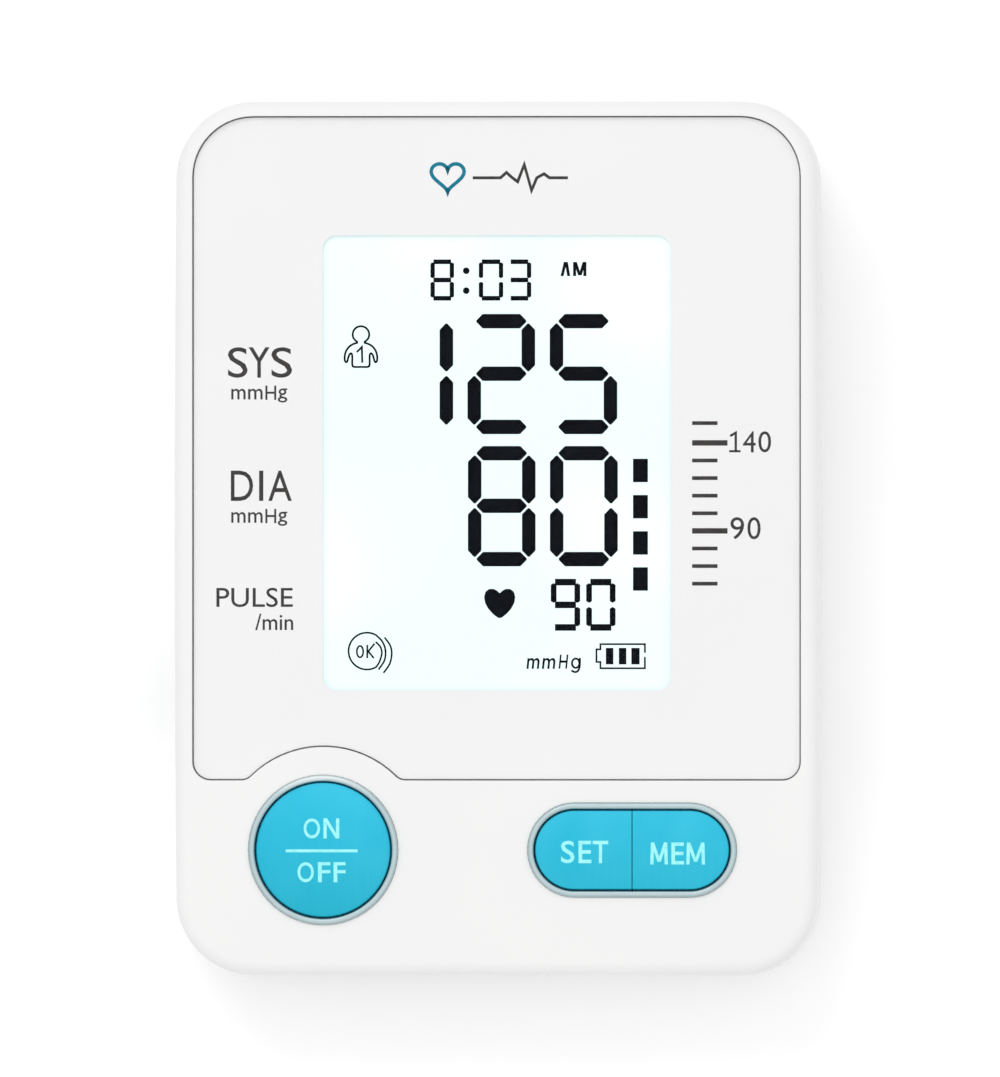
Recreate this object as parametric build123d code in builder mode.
from build123d import *
from math import cos, radians, sin
import os

os.makedirs("parts", exist_ok=True)

# Frame: X to the user's right, +Y to the display's top edge, +Z up. The feet stand on z = 0.
# "depth" is measured down from the display face, square to it. Millimetres throughout.

# ---------------------------------------------------------------- driving dimensions
TILT = 8.0                 # display face leans toward the user
FACE_Y, FACE_Z = -2.605, 38.0    # centre of the face
WIDTH, LENGTH = 98.0, 132.6     # face outline
BOW = 0.4                  # each long side bulges by this much
CORNER = 12.0
WALL = 2.0
TOP_DRAFT, CASE_DRAFT = 1.0, 2.5
SPLIT = 14.0               # depth of the parting plane
CASE_FLOOR = 1.2           # underside of the lower case
EDGE_ROUND = 2.0
PARTING = 0.22             # bevel on each side of the parting line

PANEL_HALF = 45.94         # front lens outline
PANEL_TOP, PANEL_BOTTOM = 63.78, -36.48
PANEL_CORNER, PANEL_GAP = 9.1, 0.13
LENS_DEPTH, LENS, LENS_BEVEL = 0.1, 1.0, 0.06
PRINT, ADHESIVE = 0.2, 0.3
PRINT_DEPTH = LENS_DEPTH + LENS
ADHESIVE_DEPTH = PRINT_DEPTH + PRINT
POCKET = ADHESIVE_DEPTH + ADHESIVE
TRAY = POCKET + WALL

WINDOW_W, WINDOW_L, WINDOW_V = 52.7, 68.8, 11.47
BOARD_DEPTH, BOARD = 9.0, 1.6
BOARD_UNDER = BOARD_DEPTH + BOARD

KEY_V = -47.1
POWER_U, POWER_R, ARCH_R = -26.2, 10.15, 15.7
KEYS_U, KEYS_L, KEYS_H = 20.55, 29.3, 11.9
KEY_GAP, KEY_SPLIT, KEY_EDGE = 0.28, 0.14, 0.22   # clearances, and the keys' edge round
RING_W, RING_RISE, RING_FLANGE = 0.9, 0.6, 1.0
KEY_RISE, KEY_SKIN = 0.2, 1.5
DOME_R, DOME_RISE = 147.0, 0.3   # crown of the round key: its radius and its height at the centre
FLANGE_DEPTH, FLANGE, FLANGE_OUT = 3.05, 0.8, 1.3
SWITCH, SWITCH_H = 6.0, 3.5
STEM_R, STEM_TOP, STEM_BOTTOM = 1.7, 4.3, 7.2
STEM_CLEAR = 0.3

BAY_X0, BAY_X1 = -17.2, 43.0
BAY_Y0, BAY_Y1 = -3.5, 53.5
BAY_WALL, BAY_ROOF = 1.5, 18.2
DOOR_T = 1.6
DOOR_TOP = CASE_FLOOR + DOOR_T
HINGE_Y, HINGE_Z = -7.0, 2.7
HINGE_X = (-4.0, 30.0)
CELL_R, CELL_L, CELL_PITCH = 7.25, 50.5, 15.0
CELL_X0, CELL_Z = -9.6, 10.5

PUMP_X, PUMP_Z, PUMP_R = -31.5, 14.9, 11.0
AIR_Y, AIR_Z, MANIFOLD_X = -22.0, 11.0, -25.0
TUBE_IN, TUBE_OUT, TUBE_BORE = 1.5, 2.5, 0.7
PORT_X, PORT_R, PORT_L, PORT_FLANGE = -48.3, 2.4, 8.0, 1.2
VALVE_X, VALVE_NIPPLE_Z = -7.0, 8.0
USB_Y, USB_Z, USB_X = -30.0, 10.0, 48.3

CASE_SCREWS = ((-40.0, -57.5), (40.0, -57.5), (-40.0, 59.5), (40.0, 59.5))
BOARD_SCREWS = ((-38.0, 48.0), (38.0, 48.0), (-38.0, -8.0), (38.0, -8.0), (-5.0, -47.1))
FEET = ((-26.0, -56.0), (26.0, -56.0), (-28.0, 61.0), (28.0, 61.0))
FOOT_L, FOOT_W, FOOT_SEAT = 18.0, 7.0, 0.6

FACE = Plane(
    origin=(0, FACE_Y, FACE_Z),
    x_dir=(1, 0, 0),
    z_dir=(0, -sin(radians(TILT)), cos(radians(TILT))),
)
FACE_UP = Axis((0, 0, 0), (0, -sin(radians(TILT)), cos(radians(TILT))))


# ---------------------------------------------------------------- shared shapes
def face_v(y, z):
    return (y - FACE_Y) * cos(radians(TILT)) + (z - FACE_Z) * sin(radians(TILT))


def face_depth(y, z):
    return (y - FACE_Y) * sin(radians(TILT)) - (z - FACE_Z) * cos(radians(TILT))


def housing_outline(depth, inset=0.0):
    hw, hl = WIDTH / 2 - inset, LENGTH / 2 - inset
    end = hw - BOW
    with BuildSketch(FACE.offset(-depth)) as s:
        with BuildLine():
            Line((-end, -hl), (end, -hl))
            ThreePointArc((end, -hl), (hw, 0), (end, hl))
            Line((end, hl), (-end, hl))
            ThreePointArc((-end, hl), (-hw, 0), (-end, -hl))
        make_face()
        fillet(s.vertices(), CORNER - inset)
    return s.sketch


def panel_outline(depth, grow=0.0):
    height = PANEL_TOP - PANEL_BOTTOM + 2 * grow
    with BuildSketch(FACE.offset(-depth)) as s:
        with Locations((0, (PANEL_TOP + PANEL_BOTTOM) / 2)):
            Rectangle(2 * (PANEL_HALF + grow), height)
        fillet(s.vertices().group_by(Axis.Y)[-1], PANEL_CORNER + grow)
        with Locations((POWER_U, KEY_V)):
            Circle(ARCH_R - grow, mode=Mode.SUBTRACT)
        fillet(s.vertices().group_by(Axis.Y)[0].sort_by(Axis.X)[1:3], 2.0 + grow)
        low = s.vertices().group_by(Axis.Y)[0].sort_by(Axis.X)
        fillet([low[0], low[-1]], 2.7 + grow)
    return s.sketch


def disc(u, v, depth, radius):
    with BuildSketch(FACE.offset(-depth)) as s:
        with Locations((u, v)):
            Circle(radius)
    return s.sketch


def pad(u, v, depth, w, l, r=0.0):
    with BuildSketch(FACE.offset(-depth)) as s:
        with Locations((u, v)):
            Rectangle(w, l)
        if r > 0:
            fillet(s.vertices(), r)
    return s.sketch


def slot(u, v, depth, length, height):
    with BuildSketch(FACE.offset(-depth)) as s:
        with Locations((u, v)):
            SlotOverall(length, height)
    return s.sketch


def half_key(side, depth, grow=0.0):
    with BuildSketch(FACE.offset(-depth)) as s:
        with Locations((KEYS_U, KEY_V)):
            SlotOverall(KEYS_L + 2 * grow, KEYS_H + 2 * grow)
        with Locations((KEYS_U - side * (KEYS_L - KEY_SPLIT) / 2, KEY_V)):
            Rectangle(KEYS_L, 2 * KEYS_H, mode=Mode.SUBTRACT)
    return s.sketch


def block(x0, x1, y0, y1, z0, z1, mode=Mode.ADD):
    with Locations(((x0 + x1) / 2, (y0 + y1) / 2, (z0 + z1) / 2)):
        Box(x1 - x0, y1 - y0, z1 - z0, mode=mode)


def rod_x(x0, x1, y, z, r, mode=Mode.ADD):
    with Locations(Location(((x0 + x1) / 2, y, z), (0, 90, 0))):
        Cylinder(r, x1 - x0, mode=mode)


def rod_y(x, y0, y1, z, r, mode=Mode.ADD):
    with Locations(Location((x, (y0 + y1) / 2, z), (90, 0, 0))):
        Cylinder(r, y1 - y0, mode=mode)


def rod_z(x, y, z0, z1, r, mode=Mode.ADD):
    with Locations((x, y, (z0 + z1) / 2)):
        Cylinder(r, z1 - z0, mode=mode)


def air_pad(x, size):
    """Square with round corners on the air port's axis, so that the socket can't turn."""
    with BuildSketch(Plane.YZ.offset(x)) as s:
        with Locations((AIR_Y, AIR_Z)):
            RectangleRounded(size, size, size / 4)
    return s.sketch


def case_body(inset, floor, split_depth=SPLIT):
    with BuildPart() as s:
        extrude(housing_outline(split_depth, inset), amount=-52, taper=CASE_DRAFT)
        split(bisect_by=Plane.XY.offset(floor), keep=Keep.TOP)
    return s.part


def save(builder, name):
    builder.part.label = name
    export_step(builder.part, "parts/" + name + ".step")


# ---------------------------------------------------------------- upper cover
LIP_H, LIP_OUT = 1.2, 1.1
BOSS_R = 3.2
with BuildPart() as top_cover:
    extrude(housing_outline(SPLIT), amount=SPLIT, taper=TOP_DRAFT)
    upper = top_cover.faces().sort_by(FACE_UP)[-1]
    fillet(upper.edges(), EDGE_ROUND)
    chamfer(top_cover.faces().sort_by(FACE_UP)[0].edges(), PARTING)
    extrude(
        housing_outline(SPLIT, WALL),
        amount=SPLIT - WALL,
        taper=TOP_DRAFT,
        mode=Mode.SUBTRACT,
    )
    # tray that carries the lens, hung below the skin
    with BuildPart(mode=Mode.PRIVATE) as inside:
        extrude(housing_outline(SPLIT, WALL - 0.2), amount=SPLIT - 1.0, taper=TOP_DRAFT)
    with BuildPart(mode=Mode.PRIVATE) as tray:
        extrude(panel_outline(TRAY, 1.8), amount=TRAY - WALL / 2)
        add(inside.part, mode=Mode.INTERSECT)
    add(tray.part)
    extrude(panel_outline(POCKET, PANEL_GAP), amount=POCKET + 1, mode=Mode.SUBTRACT)
    extrude(pad(0, 10.5, TRAY + 1, 61, 79.6, 1), amount=TRAY + 2, mode=Mode.SUBTRACT)
    # rebate for the lower case's tongue
    extrude(housing_outline(SPLIT, LIP_OUT - 0.15), amount=LIP_H + 0.1, mode=Mode.SUBTRACT)
    # key openings
    extrude(
        disc(POWER_U, KEY_V, WALL + 1, POWER_R + KEY_GAP + RING_W + 0.05),
        amount=WALL + 2,
        mode=Mode.SUBTRACT,
    )
    opening_l = KEYS_L + 2 * (KEY_GAP + RING_W + 0.05)
    opening_h = KEYS_H + 2 * (KEY_GAP + RING_W + 0.05)
    extrude(
        slot(KEYS_U, KEY_V, WALL + 1, opening_l, opening_h),
        amount=WALL + 2,
        mode=Mode.SUBTRACT,
    )
    # posts for the case screws and the circuit board
    for x, y in CASE_SCREWS:
        v = face_v(y, 20)
        skin = TRAY if v > PANEL_BOTTOM else WALL
        extrude(disc(x, v, SPLIT, BOSS_R), amount=SPLIT - skin + 0.5)
        extrude(disc(x, v, SPLIT, 1.1), amount=9, mode=Mode.SUBTRACT)
    for u, v in BOARD_SCREWS:
        skin = TRAY if v > PANEL_BOTTOM else WALL
        extrude(disc(u, v, BOARD_DEPTH, 2.6), amount=BOARD_DEPTH - skin + 0.5)
        extrude(disc(u, v, BOARD_DEPTH, 0.9), amount=4.2, mode=Mode.SUBTRACT)
save(top_cover, "top_cover")

# ---------------------------------------------------------------- lower case
DOOR_EDGE = 1.2            # door reaches past the bay by this much
KNUCKLE_R, KNUCKLE_W, KNUCKLE_PIN = 1.5, 6.0, 0.7
LATCH_X = CELL_X0 + 1.5 * CELL_PITCH
with BuildPart() as bottom_case:
    add(case_body(0.0, CASE_FLOOR))
    fillet(bottom_case.faces().filter_by(Axis.Z).sort_by(Axis.Z)[0].edges(), 3)
    chamfer(bottom_case.faces().sort_by(FACE_UP)[-1].edges(), PARTING)
    add(case_body(WALL, CASE_FLOOR + WALL), mode=Mode.SUBTRACT)
    # tongue that enters the cover's rebate
    with BuildPart(mode=Mode.PRIVATE) as tongue:
        extrude(housing_outline(SPLIT + 1, LIP_OUT), amount=LIP_H + 1)
        extrude(housing_outline(SPLIT + 2, WALL), amount=LIP_H + 3, mode=Mode.SUBTRACT)
    add(tongue.part)
    # bay for the four cells
    block(
        BAY_X0 - BAY_WALL, BAY_X1 + BAY_WALL, BAY_Y0 - BAY_WALL, BAY_Y1 + BAY_WALL,
        CASE_FLOOR + 1, BAY_ROOF + 1.4,
    )
    block(BAY_X0, BAY_X1, BAY_Y0, BAY_Y1, 0, BAY_ROOF, mode=Mode.SUBTRACT)
    # low ribs that keep the cells apart
    for i in range(3):
        x = CELL_X0 + (i + 0.5) * CELL_PITCH
        block(x - 0.5, x + 0.5, BAY_Y0 + 8, BAY_Y1 - 8, BAY_ROOF - 3.2, BAY_ROOF + 0.5)
    # hinge seats and the latch notch of the door
    for x in HINGE_X:
        block(x - 5.8, x + 5.8, HINGE_Y - 3.4, BAY_Y0 - 0.5, CASE_FLOOR + 1, 6.2)
    block(
        BAY_X0 - DOOR_EDGE, BAY_X1 + DOOR_EDGE, BAY_Y0 - DOOR_EDGE, BAY_Y1 + DOOR_EDGE,
        0, DOOR_TOP + 0.1, mode=Mode.SUBTRACT,
    )
    for x in HINGE_X:
        block(x - 3.3, x + 3.3, HINGE_Y - 2, BAY_Y0 - 0.4, 0, 4.9, mode=Mode.SUBTRACT)
        rod_x(x - 5, x + 5, HINGE_Y, HINGE_Z, KNUCKLE_PIN + 0.06, mode=Mode.SUBTRACT)
    block(
        LATCH_X - 2.4, LATCH_X + 2.4, BAY_Y1 - 0.5, BAY_Y1 + DOOR_EDGE, 0, 5.2,
        mode=Mode.SUBTRACT,
    )
    # finger scoop behind the door
    rod_x(LATCH_X - 6, LATCH_X + 6, BAY_Y1 + DOOR_EDGE + 0.5, 0.2, 2.4, mode=Mode.SUBTRACT)
    # cradles for the pump, seat for the valve, shelf for the power socket's board
    for y in (21.0, 45.0):
        block(PUMP_X - 12, PUMP_X + 12, y - 0.8, y + 0.8, CASE_FLOOR + 1, 10)
        rod_y(PUMP_X, y - 2, y + 2, PUMP_Z, PUMP_R - 0.3, mode=Mode.SUBTRACT)
    block(VALVE_X - 3.5, VALVE_X + 3.5, AIR_Y - 3.5, AIR_Y + 3.5, CASE_FLOOR + 1, 5)
    for dy in (-6.5, 6.5):
        block(36, 46.5, USB_Y + dy - 1, USB_Y + dy + 1, CASE_FLOOR + 1, USB_Z - 2.6)
    # screw tubes with deep counterbores
    for x, y in CASE_SCREWS:
        v = face_v(y, 20)
        with BuildPart(mode=Mode.PRIVATE) as tube:
            extrude(disc(x, v, SPLIT, 4.2), amount=-50)
            split(bisect_by=Plane.XY.offset(CASE_FLOOR + 0.5), keep=Keep.TOP)
        add(tube.part)
        extrude(disc(x, v, SPLIT - 1, 1.6), amount=-60, mode=Mode.SUBTRACT)
        extrude(disc(x, v, SPLIT + 3, 3.0), amount=-60, mode=Mode.SUBTRACT)
    # shallow panel for a label
    with BuildSketch(Plane.XY.offset(CASE_FLOOR)):
        with Locations((-31.0, 22.0)):
            RectangleRounded(20, 56, 1.5)
    extrude(amount=0.25, mode=Mode.SUBTRACT)
    # foot seats
    with BuildSketch(Plane.XY.offset(CASE_FLOOR)):
        with Locations(*FEET):
            SlotOverall(FOOT_L + 0.2, FOOT_W + 0.2)
    extrude(amount=FOOT_SEAT, mode=Mode.SUBTRACT)
    # openings for the air socket and the power socket
    extrude(air_pad(PORT_X - 3, 10.0), amount=7, mode=Mode.SUBTRACT)
    extrude(air_pad(PORT_X - 3, 13.2), amount=3 + PORT_FLANGE, mode=Mode.SUBTRACT)
    with BuildSketch(Plane.YZ.offset(44)):
        with Locations((USB_Y, USB_Z)):
            SlotOverall(9.8, 4.0)
    extrude(amount=8, mode=Mode.SUBTRACT)
save(bottom_case, "bottom_case")

# ---------------------------------------------------------------- front lens
with BuildPart() as front_lens:
    extrude(panel_outline(PRINT_DEPTH), amount=LENS)
    lens_top = front_lens.faces().sort_by(FACE_UP)[-1]
    chamfer(lens_top.edges(), LENS_BEVEL)
save(front_lens, "front_lens")

with BuildPart() as panel_print:
    extrude(panel_outline(ADHESIVE_DEPTH, -0.1), amount=PRINT)
    extrude(
        pad(0, WINDOW_V, ADHESIVE_DEPTH + 1, WINDOW_W, WINDOW_L, 2.1),
        amount=2,
        mode=Mode.SUBTRACT,
    )
save(panel_print, "panel_print")

with BuildPart() as lens_adhesive:
    extrude(panel_outline(POCKET, 0.1), amount=ADHESIVE)
    extrude(pad(0, 10.5, POCKET + 1, 61.4, 79.9, 1), amount=2, mode=Mode.SUBTRACT)
save(lens_adhesive, "lens_adhesive")

# ---------------------------------------------------------------- display module
GLASS_W, GLASS_TOP, GLASS_BOTTOM = 59.0, 49.5, -28.5
GLASS_DEPTH, GLASS_T = 1.8, 2.5
GLASS_V = (GLASS_TOP + GLASS_BOTTOM) / 2
GLASS_UNDER = GLASS_DEPTH + GLASS_T
with BuildPart() as lcd_glass:
    extrude(pad(0, GLASS_V, GLASS_UNDER, GLASS_W, GLASS_TOP - GLASS_BOTTOM, 0.5), amount=1)
    extrude(
        pad(0, GLASS_V + 1.6, GLASS_UNDER - 1, GLASS_W, GLASS_TOP - GLASS_BOTTOM - 3.2, 0.5),
        amount=GLASS_T - 1,
    )
save(lcd_glass, "lcd_glass")

GUIDE_V, GUIDE_L, GUIDE_W = 11.55, 71.4, 55.5
with BuildPart() as lcd_frame:
    frame_t = BOARD_DEPTH - GLASS_UNDER
    extrude(pad(0, 11, BOARD_DEPTH, 66, 85, 1.5), amount=frame_t)
    extrude(
        pad(0, GUIDE_V, BOARD_DEPTH + 1, GUIDE_W + 0.5, GUIDE_L + 0.5, 0.5),
        amount=frame_t + 2,
        mode=Mode.SUBTRACT,
    )
    extrude(pad(0, -26.6, BOARD_DEPTH + 1, 50.6, 2.4), amount=frame_t + 2, mode=Mode.SUBTRACT)
save(lcd_frame, "lcd_frame")

with BuildPart() as lcd_light_guide:
    extrude(pad(0, GUIDE_V, 7.1, GUIDE_W, GUIDE_L, 0.4), amount=2.5)
save(lcd_light_guide, "lcd_light_guide")

with BuildPart() as zebra_strip:
    extrude(pad(0, -26.6, BOARD_DEPTH, 50, 2.0), amount=BOARD_DEPTH - GLASS_UNDER)
save(zebra_strip, "zebra_strip")

with BuildPart() as backlight_leds:
    for i in range(4):
        u = -19.5 + 13 * i
        extrude(pad(u, 40, BOARD_DEPTH, 3.2, 1.6), amount=1.4)
save(backlight_leds, "backlight_leds")

# ---------------------------------------------------------------- circuit board
with BuildPart() as main_board:
    extrude(pad(0, 1.25, BOARD_UNDER, 82, 107.5, 3), amount=BOARD)
    for u, v in BOARD_SCREWS:
        extrude(disc(u, v, BOARD_UNDER + 1, 1.3), amount=BOARD + 2, mode=Mode.SUBTRACT)
save(main_board, "main_board")

with BuildPart() as controller_chip:
    extrude(pad(6, -6, BOARD_UNDER + 0.15, 14, 14, 0.3), amount=-1.4)
    for i in range(16):
        offset_i = -6 + 0.8 * i
        for side in (-1, 1):
            extrude(pad(6 + offset_i, -6 + side * 7.8, BOARD_UNDER, 0.4, 1.8), amount=-0.5)
            extrude(pad(6 + side * 7.8, -6 + offset_i, BOARD_UNDER, 1.8, 0.4), amount=-0.5)
save(controller_chip, "controller_chip")

with BuildPart() as board_capacitors:
    for u, v in ((24, -8), (31, -8), (24, -16)):
        extrude(disc(u, v, BOARD_UNDER, 2.5), amount=-4.4)
    for u, v in ((-8, -10), (-8, -6), (-8, -2), (16, -16), (-4, 4), (10, 8), (20, 20), (30, 30)):
        extrude(pad(u, v, BOARD_UNDER, 2.0, 1.25), amount=-0.9)
save(board_capacitors, "board_capacitors")

with BuildPart() as buzzer:
    extrude(disc(22, 40, BOARD_UNDER, 6), amount=-4.5)
    fillet(buzzer.edges().filter_by(GeomType.CIRCLE).sort_by(Axis.Z)[0], 0.5)
    extrude(disc(22, 40, BOARD_UNDER + 5, 1.2), amount=2.5, mode=Mode.SUBTRACT)
save(buzzer, "buzzer")

SENSOR_V = face_v(AIR_Y, AIR_Z)
MANIFOLD_DEPTH = face_depth(AIR_Y, AIR_Z)
with BuildPart() as pressure_sensor:
    extrude(pad(MANIFOLD_X, SENSOR_V, BOARD_UNDER, 9, 8, 0.4), amount=-3.5)
    extrude(disc(MANIFOLD_X, SENSOR_V, BOARD_UNDER + 3, TUBE_IN), amount=-3)
    extrude(disc(MANIFOLD_X, SENSOR_V, BOARD_UNDER + 1, TUBE_BORE), amount=-6, mode=Mode.SUBTRACT)
save(pressure_sensor, "pressure_sensor")

PLUGS = ((-12.0, 44.0), (0.0, 44.0), (20.0, -28.0))
with BuildPart() as board_connectors:
    for u, v in PLUGS:
        extrude(pad(u, v, BOARD_UNDER, 7, 4.6), amount=-4.2)
        extrude(pad(u, v + 0.6, BOARD_UNDER + 1, 6, 2.4), amount=-4, mode=Mode.SUBTRACT)
save(board_connectors, "board_connectors")


# ---------------------------------------------------------------- key switches
def switch_body(u):
    with BuildPart() as s:
        extrude(pad(u, KEY_V, BOARD_DEPTH, SWITCH, SWITCH, 0.4), amount=SWITCH_H)
        top_depth = BOARD_DEPTH - SWITCH_H
        extrude(
            disc(u, KEY_V, BOARD_DEPTH - 1, STEM_R + STEM_CLEAR),
            amount=SWITCH_H,
            mode=Mode.SUBTRACT,
        )
        for du in (-2.4, 2.4):
            for dv in (-2.4, 2.4):
                extrude(disc(u + du, KEY_V + dv, top_depth + 0.2, 0.35), amount=0.45)
    return s


def switch_stem(u):
    with BuildPart() as s:
        extrude(disc(u, KEY_V, STEM_BOTTOM, STEM_R), amount=STEM_BOTTOM - STEM_TOP)
    return s


SET_U, MEM_U = KEYS_U - 7.4, KEYS_U + 7.4
for name, u in (("power", POWER_U), ("set", SET_U), ("mem", MEM_U)):
    save(switch_body(u), name + "_switch_body")
    save(switch_stem(u), name + "_switch_stem")

# ---------------------------------------------------------------- keys and their rings
KEY_WALL = 1.3
FLANGE_UNDER = FLANGE_DEPTH + FLANGE
with BuildPart() as power_button:
    extrude(disc(POWER_U, KEY_V, FLANGE_UNDER, POWER_R), amount=FLANGE_UNDER + 1)
    with Locations(FACE.offset(DOME_RISE - DOME_R).location * Location((POWER_U, KEY_V, 0))):
        Sphere(DOME_R, mode=Mode.INTERSECT)
    cap = power_button.faces().sort_by(FACE_UP)[-1]
    fillet(cap.edges(), KEY_EDGE)
    extrude(disc(POWER_U, KEY_V, FLANGE_UNDER, POWER_R + FLANGE_OUT), amount=FLANGE)
    extrude(
        disc(POWER_U, KEY_V, FLANGE_UNDER, POWER_R - KEY_WALL),
        amount=FLANGE_UNDER + KEY_RISE - KEY_SKIN,
        mode=Mode.SUBTRACT,
    )
    extrude(disc(POWER_U, KEY_V, STEM_TOP, 1.5), amount=STEM_TOP + KEY_RISE - KEY_SKIN + 0.2)
save(power_button, "power_button")


def half_button(side, u):
    with BuildPart() as s:
        extrude(half_key(side, FLANGE_UNDER), amount=FLANGE_UNDER + KEY_RISE)
        top_face = s.faces().sort_by(FACE_UP)[-1]
        rim = top_face.edges()
        split_edge = rim.sort_by(Axis.X)[0 if side > 0 else -1]
        fillet([e for e in rim if e != split_edge], KEY_EDGE)
        extrude(half_key(side, FLANGE_UNDER, FLANGE_OUT), amount=FLANGE)
        with BuildPart(mode=Mode.PRIVATE) as hollow:
            extrude(pad(u, KEY_V, FLANGE_UNDER, 10.2, 8.6, 1), amount=FLANGE_UNDER - 1.3)
        add(hollow.part, mode=Mode.SUBTRACT)
        extrude(disc(u, KEY_V, STEM_TOP, 1.5), amount=STEM_TOP + KEY_RISE - KEY_SKIN + 0.2)
    return s


save(half_button(-1, SET_U), "set_button")
save(half_button(1, MEM_U), "mem_button")

RING_IN = POWER_R + KEY_GAP
with BuildPart() as power_button_ring:
    extrude(disc(POWER_U, KEY_V, WALL, RING_IN + RING_W), amount=WALL + RING_RISE)
    crown = power_button_ring.faces().sort_by(FACE_UP)[-1]
    fillet(crown.edges(), 0.38)
    extrude(disc(POWER_U, KEY_V, WALL + RING_FLANGE, RING_IN + RING_W + 1.2), amount=RING_FLANGE)
    extrude(disc(POWER_U, KEY_V, WALL + 2, RING_IN), amount=WALL + 4, mode=Mode.SUBTRACT)
    inner = power_button_ring.edges().filter_by(GeomType.CIRCLE)
    rim = inner.sort_by(FACE_UP)[-1]
    fillet(rim, 0.3)
save(power_button_ring, "power_button_ring")

RING_L, RING_H = KEYS_L + 2 * KEY_GAP, KEYS_H + 2 * KEY_GAP
with BuildPart() as key_ring:
    extrude(
        slot(KEYS_U, KEY_V, WALL, RING_L + 2 * RING_W, RING_H + 2 * RING_W),
        amount=WALL + RING_RISE,
    )
    crown = key_ring.faces().sort_by(FACE_UP)[-1]
    fillet(crown.edges(), 0.38)
    extrude(
        slot(KEYS_U, KEY_V, WALL + RING_FLANGE, RING_L + 2 * RING_W + 2.4, RING_H + 2 * RING_W + 2.4),
        amount=RING_FLANGE,
    )
    extrude(
        slot(KEYS_U, KEY_V, WALL + 2, RING_L, RING_H),
        amount=WALL + 4,
        mode=Mode.SUBTRACT,
    )
    rim_face = key_ring.faces().sort_by(FACE_UP)[-1]
    fillet(rim_face.inner_wires()[0].edges(), 0.3)
save(key_ring, "key_ring")

# ---------------------------------------------------------------- air pump
MOTOR_R, MOTOR_Y0, MOTOR_Y1 = 10.5, 18.0, 48.0
with BuildPart() as pump_motor:
    rod_y(PUMP_X, MOTOR_Y0, MOTOR_Y1, PUMP_Z, MOTOR_R)
    fillet(pump_motor.edges().filter_by(GeomType.CIRCLE), 0.8)
    rod_y(PUMP_X, MOTOR_Y1 - 1, MOTOR_Y1 + 1.8, PUMP_Z, 3.2)
    for dx in (-6.5, 6.5):
        block(
            PUMP_X + dx - 1.2, PUMP_X + dx + 1.2, MOTOR_Y1 - 1, MOTOR_Y1 + 3,
            PUMP_Z - 0.3, PUMP_Z + 0.3,
        )
    rod_y(PUMP_X, MOTOR_Y0 - 1, MOTOR_Y0 + 5, PUMP_Z, 1.06, mode=Mode.SUBTRACT)
save(pump_motor, "pump_motor")

with BuildPart() as pump_cushion:
    rod_y(PUMP_X, 24, 42, PUMP_Z, MOTOR_R + 1.1)
    rod_y(PUMP_X, 23, 43, PUMP_Z, MOTOR_R, mode=Mode.SUBTRACT)
save(pump_cushion, "pump_cushion")

with BuildPart() as pump_shaft:
    rod_y(PUMP_X, 7.5, MOTOR_Y0 + 4.5, PUMP_Z, 1.0)
save(pump_shaft, "pump_shaft")

with BuildPart() as pump_eccentric:
    rod_y(PUMP_X, 9, 14, PUMP_Z, 4.0)
    rod_y(PUMP_X + 2.6, 5, 9.5, PUMP_Z, 0.8)
    rod_y(PUMP_X, 7, 15, PUMP_Z, 1.0, mode=Mode.SUBTRACT)
save(pump_eccentric, "pump_eccentric")

with BuildPart() as pump_housing:
    rod_y(PUMP_X, 2, MOTOR_Y0, PUMP_Z, PUMP_R)
    rod_y(PUMP_X, 1, MOTOR_Y0 - 1.5, PUMP_Z, 9.6, mode=Mode.SUBTRACT)
    rod_y(PUMP_X, 1, MOTOR_Y0 + 1, PUMP_Z, 3.0, mode=Mode.SUBTRACT)
save(pump_housing, "pump_housing")

with BuildPart() as pump_diaphragm:
    rod_y(PUMP_X, 2.0, 3.1, PUMP_Z, 9.4)
    rod_y(PUMP_X, 2.0, 4.4, PUMP_Z, 2.2)
    with Locations(Location((PUMP_X, 3.1, PUMP_Z), (90, 0, 0))):
        with PolarLocations(5.8, 3):
            Cylinder(2.4, 2.0)
save(pump_diaphragm, "pump_diaphragm")

with BuildPart() as pump_head:
    rod_y(PUMP_X, -6, 2, PUMP_Z, PUMP_R)
    fillet(pump_head.edges().filter_by(GeomType.CIRCLE).sort_by(Axis.Y)[0], 1.0)
    rod_y(MANIFOLD_X, -12, -5, AIR_Z, TUBE_IN)
    rod_y(MANIFOLD_X, -13, -2, AIR_Z, TUBE_BORE, mode=Mode.SUBTRACT)
    with Locations(Location((PUMP_X, 2, PUMP_Z), (90, 0, 0))):
        with PolarLocations(5.8, 3):
            Cylinder(2.7, 4.0, mode=Mode.SUBTRACT)
save(pump_head, "pump_head")

# ---------------------------------------------------------------- exhaust valve, upright
with BuildPart() as valve_nozzle:
    rod_z(VALVE_X, AIR_Y, 5, 10, 5.2)
    rod_z(VALVE_X, AIR_Y, 9, 11.7, 2.5)
    rod_x(VALVE_X - 9.5, VALVE_X - 4, AIR_Y, VALVE_NIPPLE_Z, TUBE_IN)
    rod_x(VALVE_X - 10, VALVE_X, AIR_Y, VALVE_NIPPLE_Z, TUBE_BORE, mode=Mode.SUBTRACT)
    rod_z(VALVE_X, AIR_Y, VALVE_NIPPLE_Z, 12, TUBE_BORE, mode=Mode.SUBTRACT)
save(valve_nozzle, "valve_nozzle")

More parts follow.
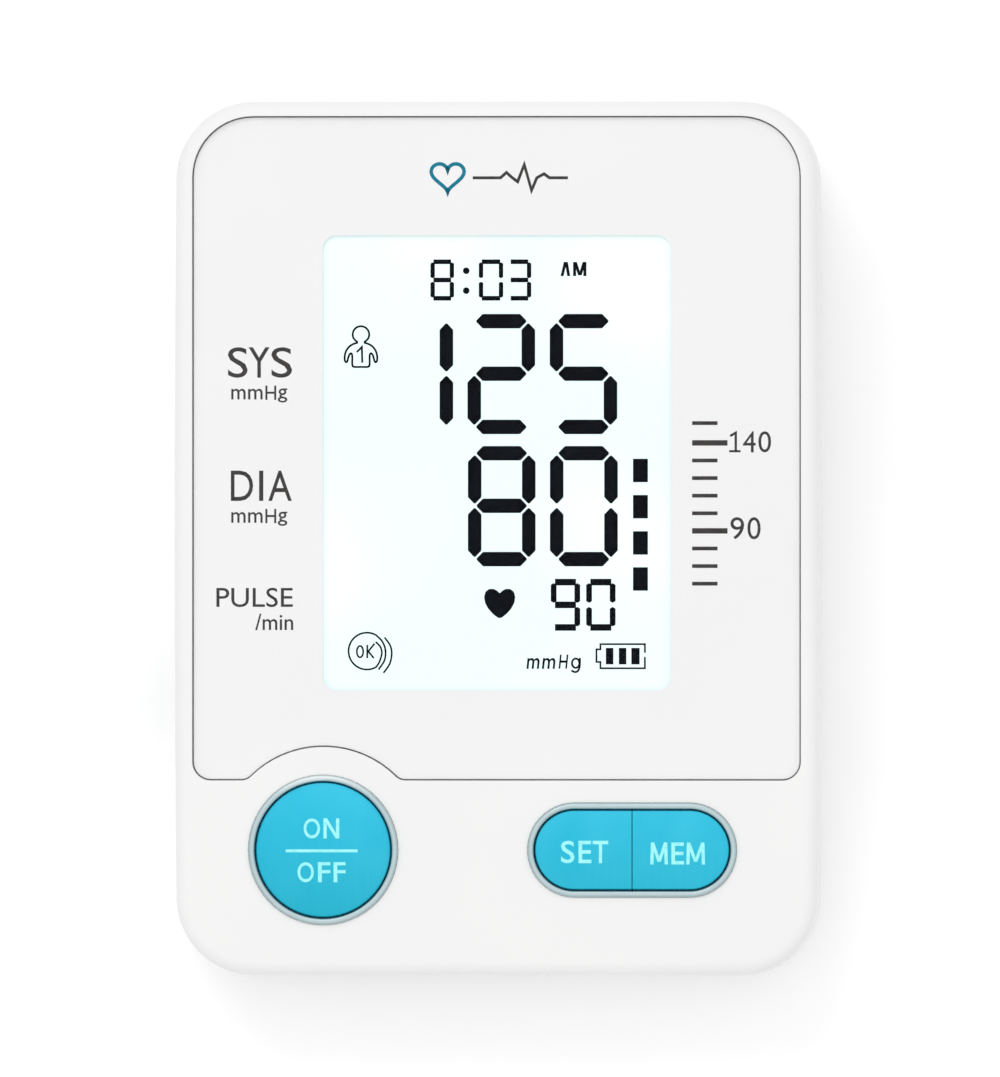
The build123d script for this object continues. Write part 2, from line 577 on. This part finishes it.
with BuildPart() as valve_frame:
    block(VALVE_X - 5.5, VALVE_X + 5.5, AIR_Y - 5.5, AIR_Y + 5.5, 10, 20)
    block(VALVE_X - 6, VALVE_X + 6, AIR_Y - 4.6, AIR_Y + 4.6, 11.2, 18.8, mode=Mode.SUBTRACT)
    rod_z(VALVE_X, AIR_Y, 9, 12, 2.6, mode=Mode.SUBTRACT)
    rod_z(VALVE_X, AIR_Y, 18, 21, 2.06, mode=Mode.SUBTRACT)
save(valve_frame, "valve_frame")

with BuildPart() as valve_coil:
    rod_z(VALVE_X, AIR_Y, 11.2, 18.8, 4.5)
    rod_z(VALVE_X, AIR_Y, 11, 19, 2.6, mode=Mode.SUBTRACT)
save(valve_coil, "valve_coil")

with BuildPart() as valve_plunger:
    rod_z(VALVE_X, AIR_Y, 12.6, 22.6, 2.0)
    rod_z(VALVE_X, AIR_Y, 22.2, 23.0, 3.4)
save(valve_plunger, "valve_plunger")

with BuildPart() as valve_spring:
    with BuildLine():
        coil = Helix(0.72, 1.7, 2.75, center=(VALVE_X, AIR_Y, 20.25))
    with BuildSketch(Plane(origin=coil @ 0, z_dir=coil % 0)):
        Circle(0.2)
    sweep()
save(valve_spring, "valve_spring")

# ---------------------------------------------------------------- air circuit
with BuildPart() as air_manifold:
    block(MANIFOLD_X - 4, MANIFOLD_X + 4, AIR_Y - 4, AIR_Y + 4, 5.5, 15)
    fillet(air_manifold.edges().filter_by(Axis.Z), 1)
    rod_y(MANIFOLD_X, AIR_Y + 3, AIR_Y + 9, AIR_Z, TUBE_IN)
    rod_x(MANIFOLD_X - 8.5, MANIFOLD_X - 3, AIR_Y, AIR_Z, TUBE_IN)
    rod_x(MANIFOLD_X + 3, MANIFOLD_X + 8, AIR_Y, VALVE_NIPPLE_Z, TUBE_IN)
    extrude(disc(MANIFOLD_X, SENSOR_V, MANIFOLD_DEPTH, TUBE_IN), amount=6.9)
    rod_y(MANIFOLD_X, AIR_Y, AIR_Y + 10, AIR_Z, TUBE_BORE, mode=Mode.SUBTRACT)
    rod_x(MANIFOLD_X - 10, MANIFOLD_X, AIR_Y, AIR_Z, TUBE_BORE, mode=Mode.SUBTRACT)
    rod_x(MANIFOLD_X, MANIFOLD_X + 10, AIR_Y, VALVE_NIPPLE_Z, TUBE_BORE, mode=Mode.SUBTRACT)
    rod_z(MANIFOLD_X, AIR_Y, VALVE_NIPPLE_Z, AIR_Z, TUBE_BORE, mode=Mode.SUBTRACT)
    extrude(disc(MANIFOLD_X, SENSOR_V, MANIFOLD_DEPTH, TUBE_BORE), amount=9, mode=Mode.SUBTRACT)
save(air_manifold, "air_manifold")

with BuildPart() as pump_tube:
    rod_y(MANIFOLD_X, AIR_Y + 4.4, -6.3, AIR_Z, TUBE_OUT)
    rod_y(MANIFOLD_X, AIR_Y + 3, -5, AIR_Z, TUBE_IN, mode=Mode.SUBTRACT)
save(pump_tube, "pump_tube")

with BuildPart() as port_tube:
    rod_x(-38.9, MANIFOLD_X - 4.4, AIR_Y, AIR_Z, TUBE_OUT)
    rod_x(-41, MANIFOLD_X - 3, AIR_Y, AIR_Z, TUBE_IN, mode=Mode.SUBTRACT)
save(port_tube, "port_tube")

with BuildPart() as valve_tube:
    rod_x(MANIFOLD_X + 4.4, VALVE_X - 5.7, AIR_Y, VALVE_NIPPLE_Z, TUBE_OUT)
    rod_x(MANIFOLD_X + 3, VALVE_X - 4, AIR_Y, VALVE_NIPPLE_Z, TUBE_IN, mode=Mode.SUBTRACT)
save(valve_tube, "valve_tube")

with BuildPart() as sensor_tube:
    tube_low = MANIFOLD_DEPTH - 4.9
    tube_high = BOARD_UNDER + 3.8
    extrude(disc(MANIFOLD_X, SENSOR_V, tube_low, TUBE_OUT), amount=tube_low - tube_high)
    extrude(disc(MANIFOLD_X, SENSOR_V, tube_low + 1, TUBE_IN), amount=12, mode=Mode.SUBTRACT)
save(sensor_tube, "sensor_tube")

with BuildPart() as air_socket:
    extrude(air_pad(PORT_X, 12.6), amount=PORT_FLANGE)
    chamfer(air_socket.faces().sort_by(Axis.X)[0].edges(), 0.3)
    extrude(air_pad(PORT_X + PORT_FLANGE, 9.6), amount=PORT_L)
    rod_x(PORT_X + PORT_L, -34.5, AIR_Y, AIR_Z, TUBE_IN)
    # two catches that hold it behind the wall
    block(-45.8, -44.6, AIR_Y - 2.5, AIR_Y + 2.5, AIR_Z - 5.5, AIR_Z + 5.5)
    rod_x(PORT_X - 1, PORT_X + PORT_L, AIR_Y, AIR_Z, PORT_R, mode=Mode.SUBTRACT)
    rod_x(PORT_X, -33, AIR_Y, AIR_Z, TUBE_BORE, mode=Mode.SUBTRACT)
save(air_socket, "air_socket")

# ---------------------------------------------------------------- power socket
SHELL_L = 7.2
with BuildPart() as power_socket:
    with BuildSketch(Plane.YZ.offset(USB_X - SHELL_L)):
        with Locations((USB_Y, USB_Z)):
            SlotOverall(9.0, 3.2)
    extrude(amount=SHELL_L)
    with BuildSketch(Plane.YZ.offset(USB_X - SHELL_L + 1)):
        with Locations((USB_Y, USB_Z)):
            SlotOverall(8.4, 2.6)
    extrude(amount=SHELL_L, mode=Mode.SUBTRACT)
save(power_socket, "power_socket")

with BuildPart() as power_socket_tongue:
    block(USB_X - SHELL_L + 1, USB_X - 1, USB_Y - 3.3, USB_Y + 3.3, USB_Z - 0.35, USB_Z + 0.35)
save(power_socket_tongue, "power_socket_tongue")

with BuildPart() as power_socket_board:
    block(36, 46.2, USB_Y - 8, USB_Y + 8, USB_Z - 2.6, USB_Z - 1.6)
save(power_socket_board, "power_socket_board")

# ---------------------------------------------------------------- cells and contacts
PLATE_T, PLATE_GAP = 0.4, 1.2


def cell(i):
    x = CELL_X0 + i * CELL_PITCH
    flip = i % 2 == 1
    nub_end = BAY_Y1 - PLATE_GAP if flip else BAY_Y0 + PLATE_GAP
    step = -1 if flip else 1
    with BuildPart() as s:
        ys = sorted((nub_end + step * 1.2, nub_end + step * CELL_L))
        rod_y(x, ys[0], ys[1], CELL_Z, CELL_R)
        fillet(s.edges().filter_by(GeomType.CIRCLE), 0.5)
        ys = sorted((nub_end, nub_end + step * 2))
        rod_y(x, ys[0], ys[1], CELL_Z, 2.75)
    return s


for i in range(4):
    save(cell(i), "battery_" + str(i + 1))

with BuildPart() as battery_springs:
    for i in range(4):
        x = CELL_X0 + i * CELL_PITCH
        flip = i % 2 == 1
        wall_y = BAY_Y0 if flip else BAY_Y1
        step = 1 if flip else -1
        y0, y1 = sorted((wall_y, wall_y + step * PLATE_T))
        block(x - 4.6, x + 4.6, y0, y1, CELL_Z - 4.6, CELL_Z + 4.6)
        with BuildLine():
            wire = Helix(
                1.1, 4.2, 3.4,
                center=(x, wall_y + step * (PLATE_T + 0.2), CELL_Z),
                direction=(0, step, 0),
                cone_angle=-12,
            )
        with BuildSketch(Plane(origin=wire @ 0, z_dir=wire % 0)):
            Circle(0.3)
        sweep()
save(battery_springs, "battery_springs")

with BuildPart() as battery_plates:
    for i in range(4):
        x = CELL_X0 + i * CELL_PITCH
        flip = i % 2 == 1
        wall_y = BAY_Y1 if flip else BAY_Y0
        step = -1 if flip else 1
        y0, y1 = sorted((wall_y, wall_y + step * PLATE_T))
        block(x - 4.6, x + 4.6, y0, y1, CELL_Z - 4.6, CELL_Z + 4.6)
        y0, y1 = sorted((wall_y, wall_y + step * PLATE_GAP))
        rod_y(x, y0, y1, CELL_Z, 2.0)
save(battery_plates, "battery_plates")

# ---------------------------------------------------------------- battery door
DOOR_X0, DOOR_X1 = BAY_X0 - DOOR_EDGE + 0.25, BAY_X1 + DOOR_EDGE - 0.25
DOOR_Y0, DOOR_Y1 = HINGE_Y + 2.9, BAY_Y1 + DOOR_EDGE - 0.3
with BuildPart() as battery_door:
    block(DOOR_X0, DOOR_X1, DOOR_Y0, DOOR_Y1, CASE_FLOOR, DOOR_TOP)
    for x in HINGE_X:
        block(x - 3, x + 3, HINGE_Y, DOOR_Y0 + 1, CASE_FLOOR, DOOR_TOP)
        rod_x(x - 3, x + 3, HINGE_Y, HINGE_Z, KNUCKLE_R)
        rod_x(x - 4.6, x + 4.6, HINGE_Y, HINGE_Z, KNUCKLE_PIN)
    block(LATCH_X - 2, LATCH_X + 2, DOOR_Y1 - 1.2, DOOR_Y1 - 0.3, CASE_FLOOR + 1, 4.6)
    block(LATCH_X - 2, LATCH_X + 2, DOOR_Y1 - 1.2, DOOR_Y1 + 0.1, 3.5, 4.4)
    for i in range(5):
        y = DOOR_Y1 - 3 - 1.4 * i
        block(LATCH_X - 6, LATCH_X + 6, y - 0.35, y + 0.35, CASE_FLOOR - 0.3, CASE_FLOOR + 0.2)
    for i in range(2):
        x = CELL_X0 + (2 * i + 0.5) * CELL_PITCH
        block(x - 0.5, x + 0.5, BAY_Y0 + 12, BAY_Y1 - 12, DOOR_TOP - 0.5, DOOR_TOP + 1.4)
save(battery_door, "battery_door")

# ---------------------------------------------------------------- feet and screws
with BuildPart() as rubber_feet:
    with BuildSketch(Plane.XY):
        with Locations(*FEET):
            SlotOverall(FOOT_L, FOOT_W)
    extrude(amount=CASE_FLOOR + FOOT_SEAT)
    fillet(rubber_feet.faces().sort_by(Axis.Z)[0:4].edges(), 0.5)
save(rubber_feet, "rubber_feet")

with BuildPart() as case_screws:
    for x, y in CASE_SCREWS:
        v = face_v(y, 20)
        extrude(disc(x, v, SPLIT + 3, 1.1), amount=10.5)
        extrude(disc(x, v, SPLIT + 3, 2.7), amount=-2)
        extrude(pad(x, v, SPLIT + 5.1, 3.2, 0.7), amount=1.2, mode=Mode.SUBTRACT)
        extrude(pad(x, v, SPLIT + 5.1, 0.7, 3.2), amount=1.2, mode=Mode.SUBTRACT)
save(case_screws, "case_screws")

with BuildPart() as board_screws:
    for u, v in BOARD_SCREWS:
        extrude(disc(u, v, BOARD_UNDER, 0.9), amount=BOARD + 3.5)
        extrude(disc(u, v, BOARD_UNDER, 2.2), amount=-1.6)
        extrude(pad(u, v, BOARD_UNDER + 1.7, 2.8, 0.6), amount=1.0, mode=Mode.SUBTRACT)
        extrude(pad(u, v, BOARD_UNDER + 1.7, 0.6, 2.8), amount=1.0, mode=Mode.SUBTRACT)
save(board_screws, "board_screws")
